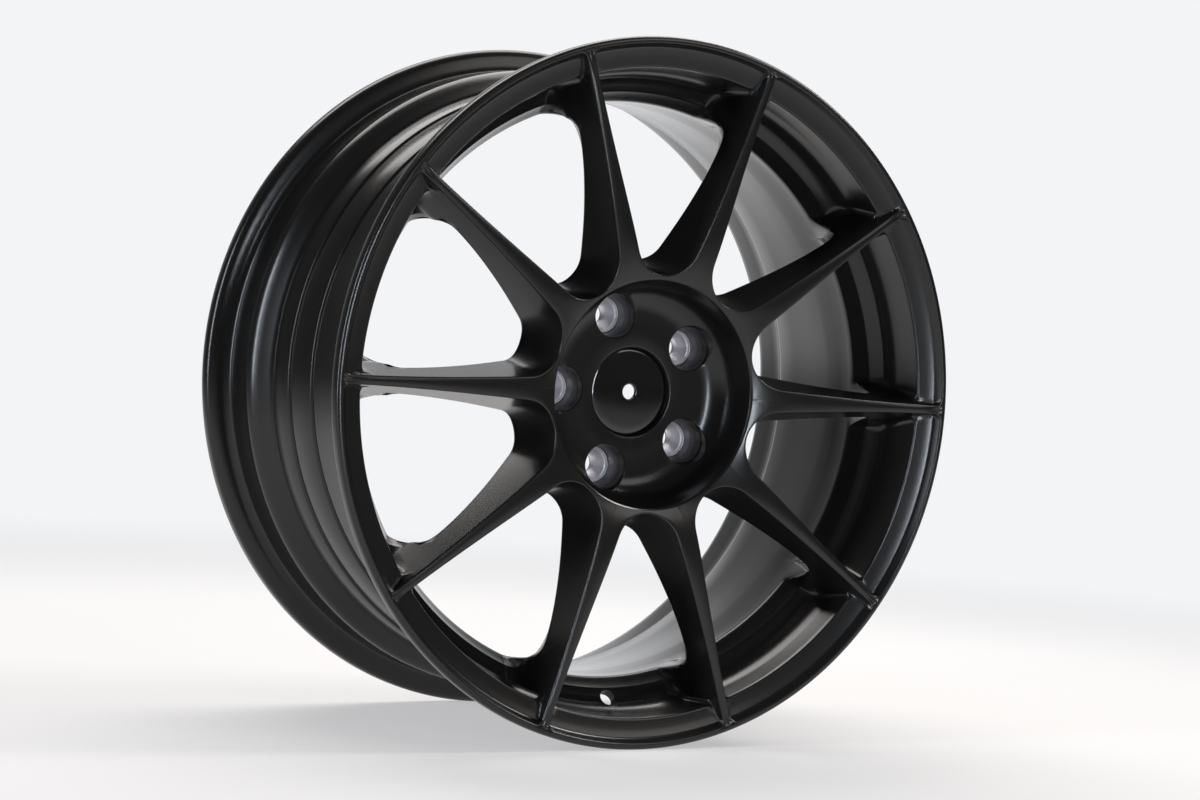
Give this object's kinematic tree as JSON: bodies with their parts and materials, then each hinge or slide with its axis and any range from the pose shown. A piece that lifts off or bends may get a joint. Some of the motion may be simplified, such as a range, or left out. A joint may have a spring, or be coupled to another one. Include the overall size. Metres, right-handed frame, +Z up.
{
  "type": "racing wheel rim",
  "caption": "Deep-barrelled forged road and race wheel rim with thin straight spokes, a dished hub with bare bolt seats and a push-in centre cap with a hole.",
  "frame": {"origin": "centre of the wheel: on the axle line, midway between the outer faces of the two flanges", "axes": "the wheel spins about +Y, the outer face looks along -Y and the mounting face along +Y, +Z is up with the valve hole straight below the centre"},
  "size_m": [0.4966, 0.23, 0.4962],
  "materials": {
    "forged_alloy": "satin black paint over forged aluminium",
    "bare_seat": "bare turned metal, concentric tool marks",
    "gloss_cap": "smooth gloss black",
    "spring_wire": "drawn spring wire"
  },
  "bodies": {
    "wheel": {"front_flange": "forged_alloy", "barrel_front": "forged_alloy", "barrel_middle": "forged_alloy", "barrel_rear": "forged_alloy", "rear_flange": "forged_alloy", "hub": "forged_alloy", "spoke_01": "forged_alloy", "spoke_02": "forged_alloy", "spoke_03": "forged_alloy", "spoke_04": "forged_alloy", "spoke_05": "forged_alloy", "spoke_06": "forged_alloy", "spoke_07": "forged_alloy", "spoke_08": "forged_alloy", "spoke_09": "forged_alloy", "spoke_10": "forged_alloy", "lug_seat_1": "bare_seat", "lug_seat_2": "bare_seat", "lug_seat_3": "bare_seat", "lug_seat_4": "bare_seat", "lug_seat_5": "bare_seat"},
    "cap": {"centre_cap": "gloss_cap", "centre_cap_snap_ring": "spring_wire"}
  },
  "joints": [
    {"name": "cap_pull", "type": "slide", "parent": "wheel", "child": "cap", "axis": [0, -1, 0], "range_m": [0, 0.08]}
  ]
}
